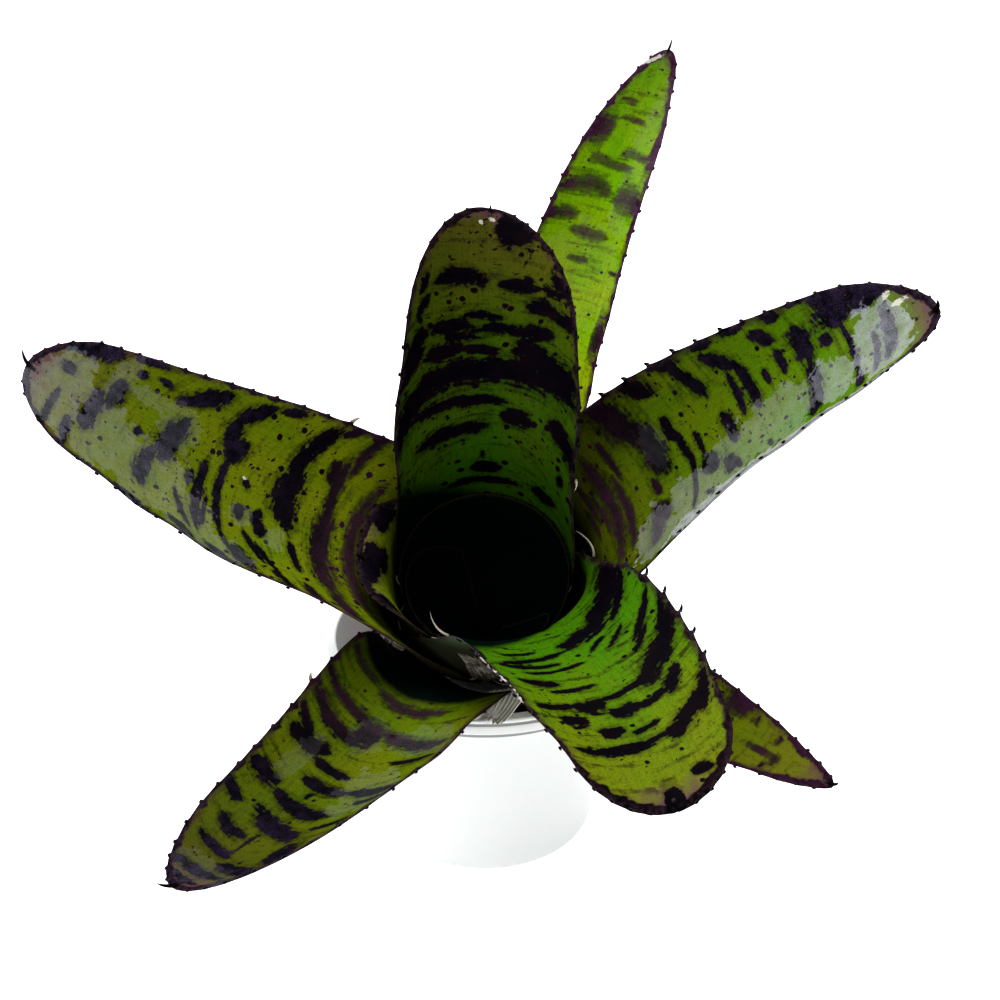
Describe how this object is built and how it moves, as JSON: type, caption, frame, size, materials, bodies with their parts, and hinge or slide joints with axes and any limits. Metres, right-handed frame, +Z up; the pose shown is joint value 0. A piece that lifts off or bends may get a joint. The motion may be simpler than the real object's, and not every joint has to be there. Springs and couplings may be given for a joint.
{
  "type": "potted neoregelia bromeliad",
  "caption": "Neoregelia bromeliad with banded, toothed strap leaves round an open tank, leaning forward in a round plastic pot of bark mix.",
  "frame": {"origin": "middle of the pot's underside, where it rests", "axes": "+Z up, -Y the way the rosette leans and its tank opens, +X to the right seen from that side"},
  "size_m": [0.2338, 0.2026, 0.2349],
  "materials": {
    "pot": "white moulded polypropylene, satin",
    "potting_mix": "dark composted bark and fibre, rough",
    "stem": "brown woody stock with leaf scars",
    "leaf": "glossy yellow-green leaf with purple-black cross bands, dots and dark toothed margins",
    "young_leaf": "dark green rolled young leaf, glossy",
    "dry_sheath": "dry papery grey-brown leaf sheath"
  },
  "bodies": {
    "root": {"pot": "pot", "potting_mix": "potting_mix", "stem": "stem", "dry_sheath_back": "dry_sheath", "dry_sheath_front": "dry_sheath", "leaf_low_right": "leaf", "leaf_top": "leaf", "leaf_front_left": "leaf", "leaf_right": "leaf", "leaf_left": "leaf", "leaf_front_right": "leaf", "leaf_short": "leaf", "leaf_back": "leaf", "young_leaf_outer": "young_leaf", "young_leaf_inner": "young_leaf"}
  },
  "joints": []
}
